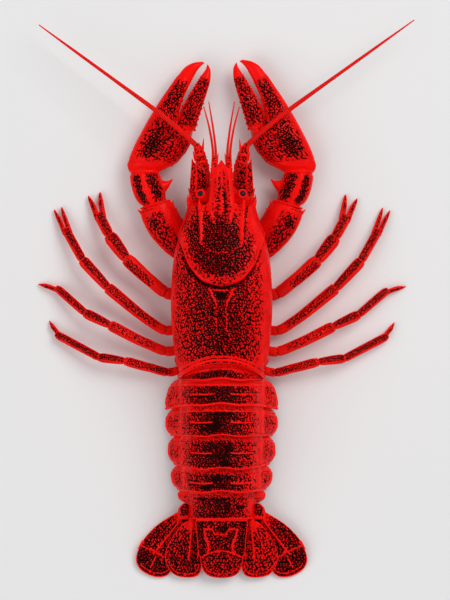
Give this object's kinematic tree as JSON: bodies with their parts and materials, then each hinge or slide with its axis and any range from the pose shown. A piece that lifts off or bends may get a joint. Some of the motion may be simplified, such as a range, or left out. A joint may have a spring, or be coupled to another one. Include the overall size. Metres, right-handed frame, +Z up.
{
  "type": "cooked crayfish",
  "caption": "Whole cooked crayfish, laid flat on its belly with both claws stretched forward, legs spread, tail straight and tail fan open.",
  "frame": {"origin": "middle of the flat of the breast plate that the animal rests on", "axes": "+Y along the body to the head, +X to the animal's right side, +Z up from the table"},
  "size_m": [0.144, 0.2139, 0.033],
  "materials": {
    "shell": "satin",
    "leg_shell": "satin",
    "underside": "satin",
    "feeler": "satin",
    "eye": "polished"
  },
  "bodies": {
    "root": {"carapace": "shell", "breast_plate": "underside", "tail_ring_1": "shell", "tail_ring_2": "shell", "tail_ring_3": "shell", "tail_ring_4": "shell", "tail_ring_5": "shell", "tail_ring_6": "shell", "tail_plate": "shell", "fan_hinge_left": "shell", "fan_inner_left": "shell", "fan_outer_left": "shell", "mouth_leg_left": "leg_shell", "eye_left": "eye", "feeler_scale_left": "shell", "feeler_root_left": "leg_shell", "feeler_left": "feeler", "short_feelers_left": "feeler", "claw_arm_left": "shell", "claw_wrist_left": "shell", "claw_hand_left": "shell", "claw_finger_left": "shell", "leg_1_thigh_left": "leg_shell", "leg_1_shin_left": "leg_shell", "leg_1_foot_left": "leg_shell", "leg_2_thigh_left": "leg_shell", "leg_2_shin_left": "leg_shell", "leg_2_foot_left": "leg_shell", "leg_3_thigh_left": "leg_shell", "leg_3_shin_left": "leg_shell", "leg_3_foot_left": "leg_shell", "leg_4_thigh_left": "leg_shell", "leg_4_shin_left": "leg_shell", "leg_4_foot_left": "leg_shell", "fan_hinge_right": "shell", "fan_inner_right": "shell", "fan_outer_right": "shell", "mouth_leg_right": "leg_shell", "eye_right": "eye", "feeler_scale_right": "shell", "feeler_root_right": "leg_shell", "feeler_right": "feeler", "short_feelers_right": "feeler", "claw_arm_right": "shell", "claw_wrist_right": "shell", "claw_hand_right": "shell", "claw_finger_right": "shell", "leg_1_thigh_right": "leg_shell", "leg_1_shin_right": "leg_shell", "leg_1_foot_right": "leg_shell", "leg_2_thigh_right": "leg_shell", "leg_2_shin_right": "leg_shell", "leg_2_foot_right": "leg_shell", "leg_3_thigh_right": "leg_shell", "leg_3_shin_right": "leg_shell", "leg_3_foot_right": "leg_shell", "leg_4_thigh_right": "leg_shell", "leg_4_shin_right": "leg_shell", "leg_4_foot_right": "leg_shell"}
  },
  "joints": []
}
